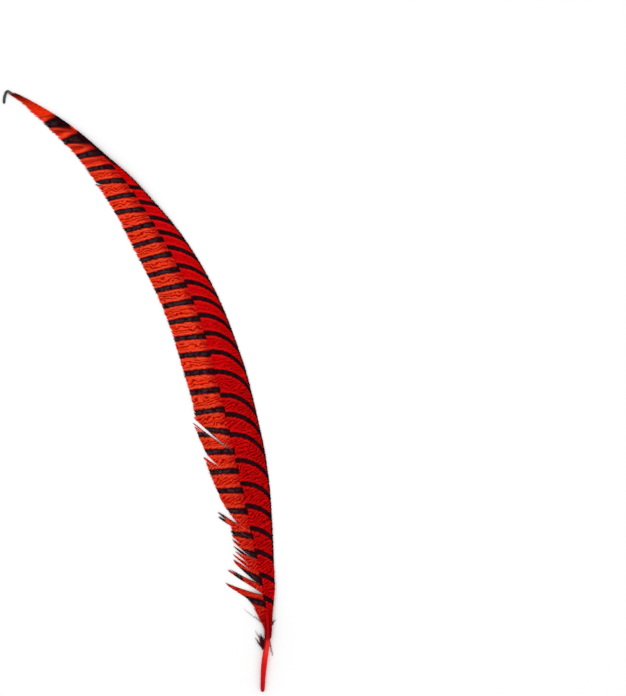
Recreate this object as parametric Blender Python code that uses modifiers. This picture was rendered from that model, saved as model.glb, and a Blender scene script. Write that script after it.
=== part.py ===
"""A dyed pheasant tail feather, 450 mm along its shaft, lying on its underside.

Run it with: blender --background --python part.py, or from Blender's text editor.
It lies on z = 0 with the quill towards -Y, the tip towards +Y and its upper side up.

Lengths here are in millimetres and are scaled to metres when a mesh is made. The feather is laid out
flat first: a point on it has a station, which is its distance along the shaft from the end of the quill,
and an out, its distance sideways from the shaft's middle line, positive on the left of someone who looks
from the quill to the tip. place() then bends that layout along the shaft's curve and down over its arch.
"""

from collections import namedtuple
from math import cos, pi, radians, sin, sqrt, tan

import bmesh
import bpy
import numpy as np

MM = 0.001
COLLECTION = "pheasant_tail_feather"
LEFT, RIGHT = 1, -1

# The shaft. Each list holds (station, value) pairs, read through a smooth curve.
QUILL_END = (80.9, -196.9)
LENGTH = 450.0
HOOK_LENGTH = 9.6
HEADINGS = [(0, 88.8), (12, 86.3), (22, 81.7), (32, 83), (50, 95.9), (75, 101.1), (110, 101.9),
            (170, 102.8), (230, 105.3), (285, 116.2), (312, 121.2), (340, 124.1), (365, 131.2),
            (385, 138.3), (400, 142.7), (420, 148.6), (450, 155), (452, 245), (459, 272)]
SHAFT_HALF_WIDTH = [(0, 1.0), (2, 1.4), (10, 1.65), (20, 1.9), (38, 1.9), (60, 1.65), (110, 1.3),
                    (200, 0.9), (300, 0.6), (360, 0.45), (447, 0.35), (451, 0.8), (454, 0.9), (458, 0.9),
                    (460, 0.5)]
SHAFT_HEIGHT = [(0, 1.9), (2, 2.7), (10, 3.2), (20, 3.7), (38, 3.7), (60, 3.5), (110, 3.0), (200, 2.3),
                (300, 1.6), (400, 1.0), (448, 0.6), (454, 0.8), (460, 0.5)]
SHAFT_UNDERSIDE = [(0, 0.3), (2, 0), (38, 0), (110, 0.8), (200, 2.2), (270, 2.5), (360, 1.6),
                   (430, 0.3), (450, 0), (460, 0)]
SHAFT_SIDES = 12
SHAFT_STEP = 6.0
HOOK_STEP = 0.6

# The vanes. A barb is attached this far up the shaft and droops outwards until it meets the surface.
ATTACH = 0.72
DROOP_ANGLE = 8.0
DROOP_CURVE = 0.010
LEVEL_BLEND = 0.5
VANE_THICKNESS = 0.6
CLEARANCE = 0.3
ROW_SPACING = 5.0
OUT_SEGMENTS = 5

# A web is a run of barbs that hang together, from the lower root to the upper one. reach is how far out a
# barb's tip is, and lean is the angle between the barb and the shaft, both by the station of the root.
Web = namedtuple("Web", "name side roots reach lean")
WEBS = [
    Web("vane_right", RIGHT, (36, 440),
        [(36, 2.6), (44, 3.0), (60, 7.6), (72, 9.7), (96, 14.2), (120, 17.9), (144, 19.4), (180, 19.5),
         (216, 17.6), (264, 14.2), (300, 10.8), (324, 7.6), (348, 4.7), (360, 3.0), (372, 1.7), (384, 1.2),
         (440, 1.1)],
        [(36, 25), (60, 35), (110, 42), (250, 41), (330, 36), (366, 27), (440, 14)]),
    Web("web_left_upper", LEFT, (161.4, 446),
        [(161.4, 20.6), (176, 19.8), (204, 20.7), (262, 20.7), (286, 20.4), (298, 19.5), (312, 18.1),
         (340, 16.4), (370, 12.2), (394, 9.4), (418, 5.3), (436, 2.5), (446, 1.2)],
        [(161.4, 38), (175, 41), (250, 41), (330, 38), (380, 31), (420, 21), (446, 12)]),
    Web("web_left_middle", LEFT, (107.1, 160.4),
        [(107.1, 8.6), (112, 14.6), (123, 17.9), (134, 19.7), (141, 19.2), (152, 20.9), (160.4, 22.6)],
        [(107.1, 50), (112, 41), (160.4, 41.5)]),
    Web("web_left_lower", LEFT, (88.4, 101.8),
        [(88.4, 13.2), (95, 13.6), (101.8, 13.1)],
        [(88.4, 45), (101.8, 48)]),
    Web("lock_frayed", LEFT, (72.8, 87.8),
        [(72.8, 15.0), (80, 14.4), (87.8, 13.3)],
        [(72.8, 43), (87.8, 45)]),
    Web("web_left_base", LEFT, (40.8, 64.3),
        [(40.8, 2.9), (43.3, 3.9), (48, 6.5), (53.7, 8.8), (58.4, 12.4), (61, 17.6), (64.3, 23.9)],
        [(40.8, 58), (64.3, 61)]),
]

# A lock tapers from its roots on the shaft to a tip at (station, out) with a width of its own. bow pushes its
# middle along the shaft, towards the feather's tip, and below is how far it hangs under the vane's level.
Lock = namedtuple("Lock", "name side roots tip tip_width bow below thickness")
LOCKS = [
    Lock("lock_upper", LEFT, (102.5, 106.3), (121.5, 20.0), 2.2, -1.1, 0, VANE_THICKNESS),
    Lock("lock_long", LEFT, (65.7, 70.9), (84.2, 21.0), 0.7, -0.8, 0, VANE_THICKNESS),
    Lock("down_left", LEFT, (28, 38), (40.6, 8.9), 0.5, -1.5, 0, 1.0),
    Lock("down_left_wisp", LEFT, (44.2, 45.4), (57.4, 15.4), 0.4, -1.0, 1.1, 0.4),
    Lock("down_right", RIGHT, (43.6, 44.9), (47.2, 5.0), 0.4, 0, 1.1, 0.4),
    Lock("down_right_curl", RIGHT, (32.4, 33.8), (24.6, 4.2), 0.4, 0.6, 1.5, 0.4),
]
LOCK_ROWS = 2
LOCK_SEGMENTS = 7
LOCK_LOWEST = 0.05

# Colour, roughness of each material.
FINISHES = {
    "quill": ((0.72, 0.02, 0.01), 0.35),
    "vane": ((0.70, 0.015, 0.01), 0.7),
    "down": ((0.10, 0.003, 0.02), 0.9),
}


def smooth(knots, station):
    """The value at a station of a curve through the knots that never overshoots between them."""
    x, y = np.array(knots, float).T
    step = np.diff(x)
    rise = np.diff(y) / step
    slope = np.zeros(len(x))
    same = rise[:-1] * rise[1:] > 0
    slope[1:-1][same] = 2 * rise[:-1][same] * rise[1:][same] / (rise[:-1] + rise[1:])[same]
    slope[0] = rise[0]
    slope[-1] = rise[-1]
    i = int(np.clip(np.searchsorted(x, station) - 1, 0, len(step) - 1))
    t = np.clip((station - x[i]) / step[i], 0, 1)
    start = (1 + 2 * t) * (1 - t) ** 2 * y[i] + t * (1 - t) ** 2 * step[i] * slope[i]
    end = t**2 * (3 - 2 * t) * y[i + 1] + t**2 * (t - 1) * step[i] * slope[i + 1]
    return float(start + end)


def walk_shaft(step=0.25):
    """Follows the shaft's heading from the end of the quill: stations, x, y and headings in radians."""
    stations = np.arange(0, LENGTH + HOOK_LENGTH + step, step)
    heading = np.radians(np.interp(stations, *np.array(HEADINGS, float).T))
    middle = (heading[1:] + heading[:-1]) / 2
    x = QUILL_END[0] + np.concatenate([[0], np.cumsum(np.cos(middle) * step)])
    y = QUILL_END[1] + np.concatenate([[0], np.cumsum(np.sin(middle) * step)])
    return stations, x, y, heading


PATH = walk_shaft()


def place(station, out, height):
    """The point in metres for a place on the flat layout at a height above the surface."""
    x, y, heading = (np.interp(station, PATH[0], column) for column in PATH[1:])
    return ((x - out * sin(heading)) * MM, (y + out * cos(heading)) * MM, height * MM)


def vane_height(station, out):
    """Height of the middle of a vane: it droops from the shaft and levels off on the surface."""
    root = smooth(SHAFT_UNDERSIDE, station) + ATTACH * smooth(SHAFT_HEIGHT, station)
    free = root - abs(out) * tan(radians(DROOP_ANGLE)) - DROOP_CURVE * out**2 - VANE_THICKNESS / 2
    return VANE_THICKNESS / 2 + (free + sqrt(free**2 + LEVEL_BLEND**2)) / 2


def web_point(web, along, outward):
    """A point of a web: along runs from its lower root to its upper one, outward from root to barb tip."""
    root = web.roots[0] + along * (web.roots[1] - web.roots[0])
    inner = smooth(SHAFT_HALF_WIDTH, root) + CLEARANCE
    out = inner + outward * (smooth(web.reach, root) - inner)
    station = root + (out - inner) / tan(radians(smooth(web.lean, root)))
    return place(station, web.side * out, vane_height(station, out))


def lock_point(lock, along, outward):
    """A point of a lock, whose width shrinks from that of its roots to that of its tip."""
    root = (lock.roots[0] + lock.roots[1]) / 2
    inner = smooth(SHAFT_HALF_WIDTH, root) + CLEARANCE
    middle = root + outward * (lock.tip[0] - root) + 4 * lock.bow * outward * (1 - outward)
    width = lock.tip_width + (1 - outward) * (lock.roots[1] - lock.roots[0] - lock.tip_width)
    station = middle + (along - 0.5) * width
    out = inner + outward * (lock.tip[1] - inner)
    lowest = lock.thickness / 2 + LOCK_LOWEST
    return place(station, lock.side * out, max(vane_height(station, out) - lock.below, lowest))


def make_material(name):
    colour, roughness = FINISHES[name]
    material = bpy.data.materials.new(name)
    material.use_nodes = True
    shader = material.node_tree.nodes["Principled BSDF"]
    shader.inputs["Base Color"].default_value = (*colour, 1)
    shader.inputs["Roughness"].default_value = roughness
    shader.inputs["Metallic"].default_value = 0.0
    return material


def add_object(name, bm, finish, collection):
    """Turns a bmesh into a smooth-shaded object of the collection, with a material of its own."""
    mesh = bpy.data.meshes.new(name)
    bm.to_mesh(mesh)
    bm.free()
    mesh.shade_smooth()
    mesh.set_sharp_from_angle(angle=radians(40))
    material = make_material(finish)
    material.name = f"{name}_{finish}"
    mesh.materials.append(material)
    obj = bpy.data.objects.new(name, mesh)
    collection.objects.link(obj)
    return obj


def add_sheet(piece, point, segments, thickness, finish, collection):
    """A thin web or lock: a grid laid out by the piece's point function and given its thickness."""
    bm = bmesh.new()
    bmesh.ops.create_grid(bm, x_segments=segments[0], y_segments=segments[1], size=1.0)
    for vertex in bm.verts:
        vertex.co = point(piece, (vertex.co.x + 1) / 2, (vertex.co.y + 1) / 2)
    obj = add_object(piece.name, bm, finish, collection)
    solid = obj.modifiers.new("thickness", "SOLIDIFY")
    solid.thickness = thickness * MM
    solid.offset = 0.0
    return obj


def add_shaft(collection):
    """The quill, rachis and bent tip: rings from the round quill to the narrow grooveless rachis, lofted."""
    straight = np.linspace(2, LENGTH - 2, round((LENGTH - 4) / SHAFT_STEP))
    hook = np.linspace(LENGTH - 2, LENGTH + HOOK_LENGTH, round((HOOK_LENGTH + 2) / HOOK_STEP))
    bm = bmesh.new()
    rings = []
    for station in [0, *straight, *hook[1:]]:
        half_width = smooth(SHAFT_HALF_WIDTH, station)
        half_height = smooth(SHAFT_HEIGHT, station) / 2
        middle = smooth(SHAFT_UNDERSIDE, station) + half_height
        ring = []
        for side in range(SHAFT_SIDES):
            angle = 2 * pi * (side + 0.5) / SHAFT_SIDES
            height = middle + half_height * sin(angle) / cos(pi / SHAFT_SIDES)
            ring.append(bm.verts.new(place(station, half_width * cos(angle), height)))
        rings.append(ring)
    for lower, upper in zip(rings, rings[1:]):
        for side in range(SHAFT_SIDES):
            after = (side + 1) % SHAFT_SIDES
            bm.faces.new((lower[side], upper[side], upper[after], lower[after]))
    bm.faces.new(rings[0])
    bm.faces.new(reversed(rings[-1]))
    bmesh.ops.recalc_face_normals(bm, faces=bm.faces)
    return add_object("shaft", bm, "quill", collection)


def main():
    for obj in list(bpy.data.objects):
        bpy.data.objects.remove(obj, do_unlink=True)
    collection = bpy.data.collections.new(COLLECTION)
    bpy.context.scene.collection.children.link(collection)
    add_shaft(collection)
    for web in WEBS:
        rows = max(2, round((web.roots[1] - web.roots[0]) / ROW_SPACING))
        add_sheet(web, web_point, (rows, OUT_SEGMENTS), VANE_THICKNESS, "vane", collection)
    for lock in LOCKS:
        finish = "down" if lock.name.startswith("down") else "vane"
        add_sheet(lock, lock_point, (LOCK_ROWS, LOCK_SEGMENTS), lock.thickness, finish, collection)


main()
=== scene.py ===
"""The looks of a dyed pheasant tail feather: every barb, the shaft, the down, the stage and the camera.

Lengths are in millimetres on a flat layout of the feather: a station is the distance along the shaft from
the end of the quill, and an out is the distance sideways from the shaft's middle line, positive on the left
of someone who looks from the quill to the tip. place() bends the layout along the shaft and scales it to
metres.
"""

from collections import namedtuple
from math import cos, pi, radians, sin, tan

import bpy
import numpy as np
from bpy.props import FloatProperty, FloatVectorProperty, IntProperty, PointerProperty
from bpy.types import NodeSocket, Operator, Panel, PropertyGroup
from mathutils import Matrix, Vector


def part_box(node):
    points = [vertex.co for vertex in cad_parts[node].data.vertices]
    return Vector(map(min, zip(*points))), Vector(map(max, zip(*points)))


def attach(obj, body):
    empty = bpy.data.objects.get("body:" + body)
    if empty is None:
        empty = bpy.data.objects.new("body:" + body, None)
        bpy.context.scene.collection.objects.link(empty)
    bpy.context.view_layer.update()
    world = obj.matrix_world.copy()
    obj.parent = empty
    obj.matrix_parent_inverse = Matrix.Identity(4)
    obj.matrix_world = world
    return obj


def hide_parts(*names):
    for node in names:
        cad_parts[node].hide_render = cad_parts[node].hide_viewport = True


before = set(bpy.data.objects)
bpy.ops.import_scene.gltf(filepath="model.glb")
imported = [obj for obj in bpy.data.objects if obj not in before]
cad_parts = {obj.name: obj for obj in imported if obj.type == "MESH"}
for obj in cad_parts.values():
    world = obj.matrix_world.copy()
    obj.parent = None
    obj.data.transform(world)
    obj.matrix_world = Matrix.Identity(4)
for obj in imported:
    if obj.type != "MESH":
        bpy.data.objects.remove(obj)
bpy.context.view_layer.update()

bl_info = {
    "name": "Pheasant Tail Feather",
    "version": (1, 0, 0),
    "blender": (4, 5, 0),
    "location": "View3D > Sidebar > Feather",
    "description": "Builds a dyed, barred tail feather barb by barb around its solid frame",
    "category": "Add Mesh",
}

MM = 0.001
LEFT, RIGHT = 1, -1
BODY = "root"

# The layout that the solids were made from.
QUILL_END = (80.9, -196.9)
LENGTH = 450.0
HOOK_LENGTH = 9.6
HEADINGS = [(0, 88.8), (12, 86.3), (22, 81.7), (32, 83), (50, 95.9), (75, 101.1), (110, 101.9),
            (170, 102.8), (230, 105.3), (285, 116.2), (312, 121.2), (340, 124.1), (365, 131.2),
            (385, 138.3), (400, 142.7), (420, 148.6), (450, 155), (452, 245), (459, 272)]
SHAFT_HALF_WIDTH = [(0, 1), (2, 1.4), (10, 1.65), (20, 1.9), (38, 1.9), (60, 1.65), (110, 1.3),
                    (200, 0.9), (300, 0.6), (360, 0.45), (447, 0.35), (451, 0.8), (454, 0.9), (458, 0.9),
                    (460, 0.5)]
SHAFT_HEIGHT = [(0, 1.9), (2, 2.7), (10, 3.2), (20, 3.7), (38, 3.7), (60, 3.5), (110, 3), (200, 2.3),
                (300, 1.6), (400, 1), (448, 0.6), (454, 0.8), (460, 0.5)]
SHAFT_UNDERSIDE = [(0, 0.3), (2, 0), (38, 0), (110, 0.8), (200, 2.2), (270, 2.5), (360, 1.6),
                   (430, 0.3), (450, 0), (460, 0)]
ATTACH = 0.72
DROOP_ANGLE = 8.0
DROOP_CURVE = 0.010
LEVEL_BLEND = 0.5
SHEET_THICKNESS = 0.6
CLEARANCE = 0.3
LAYOUT_TOLERANCE = 0.001

# A web of barbs, as in the solids, with how long the loose ends of its barbs are, the partings that open
# between them (root station, out where the parting starts, gap) and the tufts that its barbs draw together
# in (lowest root, highest root, how strongly, how much longer the tuft's tip is).
Web = namedtuple("Web", "name side roots reach lean fray partings tufts")
WEBS = [
    Web("vane_right", RIGHT, (36, 447),
        [(36, 2.6), (44, 3), (60, 7.6), (72, 9.7), (96, 14.2), (120, 17.9), (144, 19.4), (180, 19.5),
         (216, 17.6), (264, 14.2), (300, 10.8), (324, 7.6), (348, 4.7), (360, 3), (372, 1.7), (384, 1.2),
         (440, 1.1), (447, 0.8)],
        [(36, 25), (60, 35), (110, 42), (250, 41), (330, 36), (366, 27), (440, 14)],
        0.8, [], []),
    Web("web_left_upper", LEFT, (161.3, 449),
        [(161.3, 20.6), (176, 19.8), (204, 20.7), (262, 20.7), (286, 20.4), (298, 19.5), (312, 18.1),
         (340, 16.4), (370, 12.2), (394, 9.4), (418, 5.3), (436, 2.5), (446, 1.5), (449, 1.1)],
        [(161.3, 38), (175, 41), (250, 41), (330, 38), (380, 31), (420, 21), (446, 12)],
        1.6, [(344.2, 13.3, 1), (209, 18.2, 0.5), (286, 17.5, 0.4), (176, 17.5, 0.5)],
        [(341.2, 344.2, 0.3, 0.5), (344.2, 350, 0.05, -0.4), (161.3, 163.4, 0.3, 0.4)]),
    Web("web_left_middle", LEFT, (107.1, 160.8),
        [(107.1, 8.6), (112, 14.6), (123, 17.9), (134, 19.7), (141, 19.2), (152, 20.9), (160.7, 22.4)],
        [(107.1, 50), (112, 41), (160.7, 41.5)],
        1.8, [(140.9, 12.6, 2.2), (158.9, 16, 0.7), (157, 18, 0.5), (126, 16, 0.4)],
        [(136.6, 140.9, 0.45, 1.3), (140.9, 144, 0.15, -0.7), (158.9, 161, 0.5, 0.4),
         (157, 158.9, 0.4, 0.6)]),
    Web("web_left_lower", LEFT, (88.4, 102.4),
        [(88.4, 13.2), (95, 13.6), (101.8, 13.1)],
        [(88.4, 43), (102.4, 45.5)],
        2, [(92.4, 8.5, 0.7)], [(88.4, 92.4, 0.5, 0.5), (92.4, 96, 0.25, -0.2)]),
    Web("lock_frayed", LEFT, (71.6, 87.8),
        [(71.6, 14.6), (72.8, 14.8), (80, 14.4), (87.8, 13.3)],
        [(71.6, 41.5), (87.8, 45)],
        2.6, [(77.2, 3, 0.5), (81.4, 4.5, 1), (84.8, 8.5, 0.7)],
        [(71.6, 77.2, 0.55, 1.2), (77.2, 81.4, 0.62, 0.9), (81.4, 84.8, 0.55, -0.5),
         (84.8, 87.8, 0.55, 0.5)]),
    Web("web_left_base", LEFT, (37, 64.3),
        [(37, 2.5), (40.8, 2.9), (43.3, 3.9), (48, 6.5), (53.7, 8.9), (57, 11.6), (59.5, 17.4),
         (62, 22.2), (64.3, 23.6)],
        [(37, 40), (42, 56), (64.3, 61)],
        2.2, [], [(60.4, 64.3, 0.1, 0.35)]),
]

# A lock of barbs that run together, as in the solids. It ends in strands with tips at (station, out), the
# lowest first. fullness is how far along them the strands stay wide, and dark is the middle and the length of
# their dark stretch, in outs.
Lock = namedtuple("Lock", "name side roots tips bow fullness dark")
LOCKS = [
    Lock("lock_upper", LEFT, (102.1, 106.3), [(119.9, 20.2), (122.9, 19.9)], -1.1, 1.2, (18, 5)),
    Lock("lock_long", LEFT, (65.7, 70.9), [(84.1, 20.9)], -1.2, 1, (14.4, 4.8)),
]

# A tuft of down, as in the solids: how many plumes reach from its roots to about its tips, how high they
# start and how grey they are.
Tuft = namedtuple("Tuft", "name side roots tips plumes height grey")
TUFTS = [
    Tuft("down_left", LEFT, (27.8, 38),
         [(40.2, 8.8), (34.7, 8), (37, 5), (36, 4.3), (34, 4), (38, 6.2), (32, 3.7), (35.5, 5.2),
          (38, 4.8), (33, 4.4)],
         64, 2.4, 0),
    Tuft("down_left_wisp", LEFT, (44.2, 45.4), [(57.2, 15)], 2, 1.3, 0.9),
    Tuft("down_right", RIGHT, (43.6, 44.9), [(47.2, 5)], 7, 1.1, 0.1),
    Tuft("down_right_curl", RIGHT, (33.6, 35.2), [(24.2, 4.8)], 4, 1, 0.55),
]

# The dark bars: (station at the shaft, bar number) pairs, counted from the tip. Slant is the angle in degrees
# between a bar and the straight line across the shaft, towards the tip on the left and towards the quill on
# the right. Both slant and thickness go by the station where the bar meets the shaft.
LEFT_BARS = [(41, 28), (57.5, 27), (72.6, 26), (90.3, 25), (103, 24), (119.6, 23), (159.8, 20), (172.5, 19),
             (188.1, 18), (237.5, 14), (273.3, 11), (307, 8), (341.3, 5), (364.4, 3), (377, 2), (392.4, 1),
             (410.5, 0), (428, -1)]
LEFT_SLANT = [(57, 19), (73, 33), (90, 22), (119, 12), (146, 8), (165, 12), (172, 19), (181, 10), (188, 6),
              (224, 11), (262, 13), (306, 18), (318, 19), (330, 27), (341, 27), (353, 34.6), (410, 36)]
RIGHT_BARS = [(46, 22), (61.9, 21), (108.5, 18), (153.8, 15), (171, 14), (184.5, 13), (197.5, 12),
              (213.2, 11), (251.9, 8), (287.5, 5), (300.8, 4), (323.6, 2), (347.5, 0), (359, -1)]
RIGHT_SLANT = [(60, 31), (95, 24), (150, 8.5), (210, 7.5), (255, 14), (300, 33), (340, 35)]
LEFT_THICKNESS = [(57, 3.2), (73, 4.4), (92, 3.6), (140, 3.7), (240, 3.5), (300, 3.2), (365, 3),
                  (377, 3.8), (392, 4.2)]
RIGHT_THICKNESS = [(60, 3), (250, 3), (320, 2.8), (347, 2.7)]

# How dark the strip beside the shaft and the right edge is near the tip, and how many stations the fine wavy
# lines turn for each out.
TIP_STRIP = [(361, 0), (365, 1), (397, 1), (399, 0), (402, 0), (404, 1), (415, 1), (418, 0), (436, 0.2),
             (444, 0.7)]
LINE_TURN = [(60, 0.45), (160, 0.4), (235, -0.25), (400, -0.5)]

# The search for a bar's base, its least crowding and the half thickness that hides it. Left bars lean this
# much of their slant and bend back with each out; right bars curve as on a vane of the widest reach.
BAR_PASSES = 6
FEWEST_BARS_PER_MM = 0.03
NO_BAR = -0.2
LEFT_LEAN, LEFT_BEND = 1.3, 0.015
RIGHT_WIDEST = 19
STEEPEST_BAR = 2.2
LONG_SPLIT_ROOT, LONG_SPLIT_LEAN = 161.5, 1.08
LONG_SPLIT_SLIP = 3.4
LOCK_BAR_SPACING = 30

# Stretches of the shaft, as (start, end) stations, over which the looks change.
# Where painted shade under the down lies on the quill's left, and where painted shade darkens its sides.
DOWN_SHADE_STARTS, DOWN_SHADE_ENDS = (25, 31), (38, 46)
QUILL_SIDES_DARKEN = (33, 38)
BASE_BRIGHTENS = (36, 64)
BARS_ON_RACHIS = (46, 58)
VANE_BRIGHTENS = (50, 230)
TIP_STATION = 352
DUSKY_BARS = (355, 388)
PLAIN_TIP = (384, 408)
TIP_DARKENS = (428, 448)
TIP_DRIES, SHAFT_DRIES = (446.5, 451), (447, 449.5)

# Barbs, shaft and down, in millimetres and in shares of a barb or of the shaft's half width.
LOWEST = 0.02
SHORTEST_BARB = 0.3
ROOT_SHARE = 0.6
BARB_BOW = 0.22
PARTING_REACH = 1.6
WAVE_HEIGHT = 0.12
LOCK_FRAY = 4.0
LOCK_FLARE = 2.2
TIP_WIDTH = 0.14
RING_ACROSS = (-1, -0.22, 0, 0.22, 1, 0)
SHARP_ANGLE = 50
UV_MARGIN = 0.01
SHAFT_SIDES = 28
SHAFT_STEP = 0.8
ROUNDED_END = [(0.0, 0.55), (0.15, 0.78), (0.4, 0.92), (0.75, 0.98)]
STEM_POINTS, STEM_RADIUS = 15, 0.17
BARBULES, BARBULE_POINTS, BARBULE_RADIUS = 40, 5, 0.075

# The stage, in metres. A light is its name, place, share of the key's power and size.
FLOOR_SIZE, FLOOR_LEVEL = 6.0, -0.0002
LIGHTS = [("key", (-0.7, 0.35, 1.3), 1.0, 0.9), ("fill", (0.9, -0.3, 1.2), 0.35, 1.2)]
SENSOR = 36.0
VIEW_MIDDLE = (0.11393, 0.02817)
VIEW_HEIGHT, VIEW_LEVEL = 0.4547, 0.0035

# How dye shows on a vane: its colours, the outs between which it brightens, the stations between which its
# lines fade and to what, how much painted sheen the middles of its bars take and how pale its loose ends.
Dye = namedtuple("Dye", "deep bright line streak tip bar sheen brightens fades faded worn pale_ends")
LINE_STRENGTH = 0.95

# Colours of the quill by station, then its painted shade on the left half and on the sides among the down,
# the down's painted shadow on its left, the dry bent tip, and the down's paler fibre ends and grey fibres.
QUILL_COLOURS = [
    (0, (0.24, 0.001, 0.004)), (1.2, (0.42, 0.003, 0.006)), (10, (0.56, 0.002, 0.005)),
    (18, (0.60, 0.006, 0.005)), (22, (0.72, 0.012, 0.007)), (28, (0.76, 0.025, 0.019)),
    (33.7, (0.66, 0.018, 0.015)), (35.2, (0.33, 0.001, 0.003)), (50, (0.46, 0.002, 0.003)),
]
QUILL_SHADED_LEFT, QUILL_SHADED_SIDES, QUILL_DOWN_SHADE = (0.45, 0.001, 0.003), (0.14, 0, 0.002), (0.09, 0, 0.002)
HOOK_COLOUR = (0.055, 0.060, 0.055)
DOWN_ENDS, DOWN_GREY = (0.13, 0.02, 0.025), (0.27, 0.21, 0.18)


def colour_property(name, description, default):
    return FloatVectorProperty(
        name=name, description=description, subtype="COLOR", default=default, min=0, max=1)


class FeatherSize(PropertyGroup):
    barb_pitch: FloatProperty(
        name="Barb Pitch", description="Distance between barb roots along the shaft, in millimetres",
        default=0.62, min=0.3, max=2.0)
    barb_overlap: FloatProperty(
        name="Barb Overlap", description="Width of a barb with its barbules over the space it has",
        default=1.3, min=1.0, max=2.0)
    barb_ridge: FloatProperty(
        name="Barb Ridge", description="Height of the ridge along the middle of a barb, in millimetres",
        default=0.09, min=0.0, max=0.3)
    barb_tilt: FloatProperty(
        name="Barb Tilt", description="How far each barb's outer edge lies over the next, in millimetres",
        default=0.055, min=0.0, max=0.2)
    barb_segments: IntProperty(
        name="Barb Segments", description="Lengths that a barb is divided in", default=22, min=6, max=40)
    edge_raggedness: FloatProperty(
        name="Edge Raggedness", description="How unevenly barbs end, in millimetres",
        default=0.35, min=0.0, max=2.0)


class FeatherColours(PropertyGroup):
    # The narrow left vane's colours are partly its dye and partly painted light: it is painted as the lit
    # side.
    left_bright: colour_property(
        "Left Vane", "Dye on the narrow vane, which takes it brighter", (0.83, 0.035, 0.006))
    # Painted shade: the left vane's deeper red next to the shaft, where the vane meets the rachis.
    left_deep: colour_property(
        "Left Vane at the Shaft", "The same dye close to the shaft", (0.46, 0.0020, 0.0018))
    tip: colour_property("Tip", "The same dye on the plain web at the tip", (0.86, 0.032, 0.004))
    left_line: colour_property("Left Lines", "Fine wavy lines of the narrow vane", (0.34, 0.0015, 0.0005))
    left_streak: colour_property(
        "Left Streaks", "Pale streaks beside the bars of the narrow vane", (0.92, 0.090, 0.040))
    # The wide right vane's colours, also used on the rachis, are partly its dye and partly painted shade: it
    # is painted as the shaded side.
    right_bright: colour_property("Right Vane", "Dye on the wide vane and the rachis", (0.59, 0.0015, 0.002))
    right_deep: colour_property(
        "Right Vane at the Edge", "The same dye near the edge of the wide vane", (0.50, 0.001, 0.0015))
    right_line: colour_property("Right Lines", "Fine wavy lines of the wide vane", (0.17, 0.0003, 0.0005))
    right_streak: colour_property(
        "Right Streaks", "Pale streaks beside the bars of the wide vane", (0.72, 0.009, 0.012))
    bar: colour_property("Bars", "Dark pigment of the bars", (0.014, 0.0015, 0.003))
    # Bar Sheen is painted sheen: a grey gloss painted into the colour of the middle of the dark bars.
    bar_sheen: colour_property("Bar Sheen", "Worn grey of the middle of a bar", (0.050, 0.024, 0.029))
    pale: colour_property(
        "Loose Ends", "Light that loose barb ends let through, added to their colour", (0.32, 0.12, 0.09))
    down: colour_property("Down", "Dyed down at the top of the quill", (0.075, 0.0005, 0.004))


class FeatherStage(PropertyGroup):
    floor: colour_property("Floor", "Colour of the floor", (0.94, 0.94, 0.94))
    sky: FloatProperty(
        name="Surrounding Light", description="Strength of the even light from all round",
        default=0.97, min=0, max=5)
    key: FloatProperty(
        name="Key Light", description="Power of the large soft light", default=2.6, min=0, max=500,
        unit="POWER")
    lens: FloatProperty(
        name="Lens", description="Focal length of the camera in millimetres", default=85, min=20, max=300)


# --- layout

def smooth(knots, at):
    """Values of a curve through the knots that never overshoots between them."""
    x, y = np.array(knots, float).T
    step = np.diff(x)
    rise = np.diff(y) / step
    slope = np.zeros(len(x))
    same = rise[:-1] * rise[1:] > 0
    slope[1:-1][same] = 2 * rise[:-1][same] * rise[1:][same] / (rise[:-1] + rise[1:])[same]
    slope[0] = rise[0]
    slope[-1] = rise[-1]
    i = np.clip(np.searchsorted(x, at) - 1, 0, len(step) - 1)
    t = np.clip((at - x[i]) / step[i], 0, 1)
    start = (1 + 2 * t) * (1 - t) ** 2 * y[i] + t * (1 - t) ** 2 * step[i] * slope[i]
    end = t**2 * (3 - 2 * t) * y[i + 1] + t**2 * (t - 1) * step[i] * slope[i + 1]
    return start + end


def walk_shaft(step=0.25):
    """Follows the shaft's heading from the end of the quill: stations, x, y and headings in radians."""
    stations = np.arange(0, LENGTH + HOOK_LENGTH + step, step)
    heading = np.radians(np.interp(stations, *np.array(HEADINGS, float).T))
    middle = (heading[1:] + heading[:-1]) / 2
    x = QUILL_END[0] + np.concatenate([[0], np.cumsum(np.cos(middle) * step)])
    y = QUILL_END[1] + np.concatenate([[0], np.cumsum(np.sin(middle) * step)])
    return stations, x, y, heading


PATH = walk_shaft()


def place(station, out, height):
    """Points in metres for places on the flat layout, as an array with x, y and z last."""
    x, y, heading = (np.interp(station, PATH[0], column) for column in PATH[1:])
    return np.stack([x - out * np.sin(heading), y + out * np.cos(heading), height + 0 * x], -1) * MM


def vane_height(station, out):
    """Height of the middle of a vane: it droops from the shaft and levels off on the surface."""
    root = smooth(SHAFT_UNDERSIDE, station) + ATTACH * smooth(SHAFT_HEIGHT, station)
    free = root - np.abs(out) * tan(radians(DROOP_ANGLE)) - DROOP_CURVE * out**2 - SHEET_THICKNESS / 2
    return SHEET_THICKNESS / 2 + (free + np.sqrt(free**2 + LEVEL_BLEND**2)) / 2


def ramp(value, start, end):
    """0 up to start, 1 from end on and a smooth step between."""
    t = np.clip((value - start) / (end - start), 0, 1)
    return t * t * (3 - 2 * t)


def beside_shaft(out, reach):
    """1 at the shaft, fading over about reach."""
    return np.exp(-((out / reach) ** 2))


def check_layout():
    """Raises an error if the shaft of this layout doesn't fill the box of the solid shaft."""
    side = smooth(SHAFT_HALF_WIDTH, PATH[0])
    outline = np.concatenate([place(PATH[0], side * edge, 0)[:, :2] for edge in (LEFT, RIGHT)])
    low, high = (np.array(corner)[:2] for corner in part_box("shaft"))
    off = max(np.abs(outline.min(0) - low).max(), np.abs(outline.max(0) - high).max())
    if off > LAYOUT_TOLERANCE:
        raise RuntimeError(f"the layout is {off / MM:.2f} mm off the solid shaft")


# --- pigment

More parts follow.
